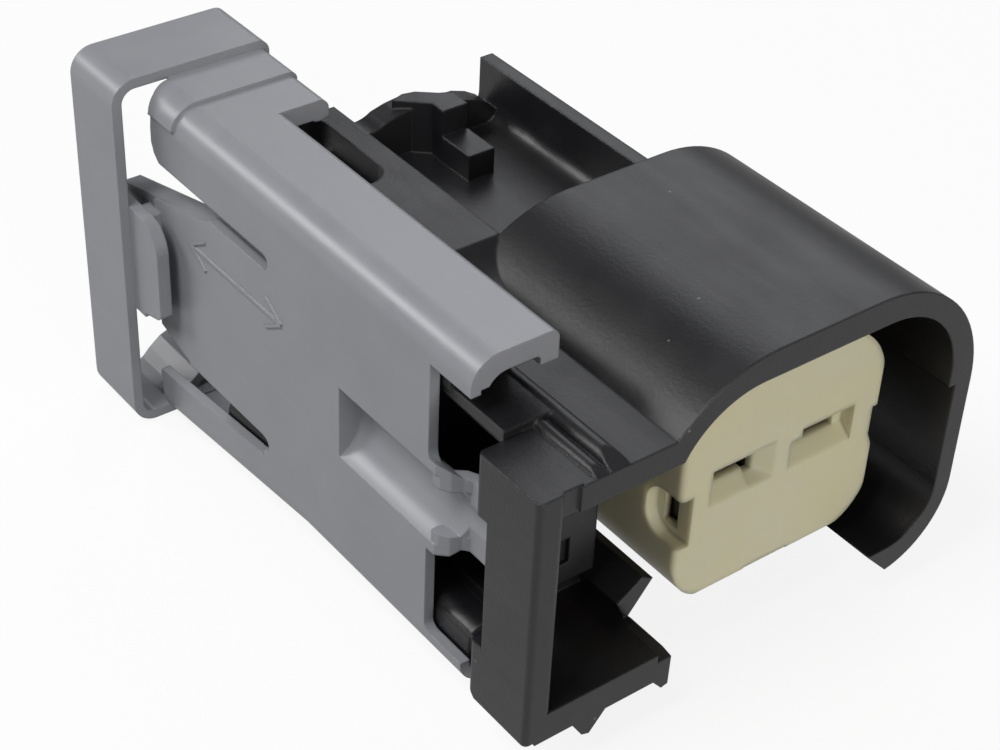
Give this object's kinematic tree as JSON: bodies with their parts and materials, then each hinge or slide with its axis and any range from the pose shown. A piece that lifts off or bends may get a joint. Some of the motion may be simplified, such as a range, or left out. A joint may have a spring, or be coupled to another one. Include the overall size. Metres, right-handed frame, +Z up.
{
  "type": "electrical connector",
  "caption": "Sealed wire connector plug with a hooded mating end, a keyed cream nose and a grey sliding lock that carries a press bow.",
  "frame": {"origin": "middle of the bounding box in plan, on the plane it rests on", "axes": "+X towards the mating side, +Y away from the side with the press bow, +Z up"},
  "size_m": [0.0384, 0.0282, 0.0216],
  "materials": {
    "housing": "satin black",
    "lock": "satin grey",
    "nose": "satin cream",
    "seal": "soft",
    "terminal": "tin plated"
  },
  "bodies": {
    "connector": {"housing": "housing", "nose_cap": "nose", "ring_seal": "seal", "terminal_left": "terminal", "terminal_right": "terminal", "wire_seal_left": "seal", "wire_seal_right": "seal"},
    "lock": {"slide_lock": "lock"}
  },
  "joints": [
    {"name": "lock_slide", "type": "slide", "parent": "connector", "child": "lock", "axis": [1, 0, 0], "range_m": [0, 0.003]}
  ]
}
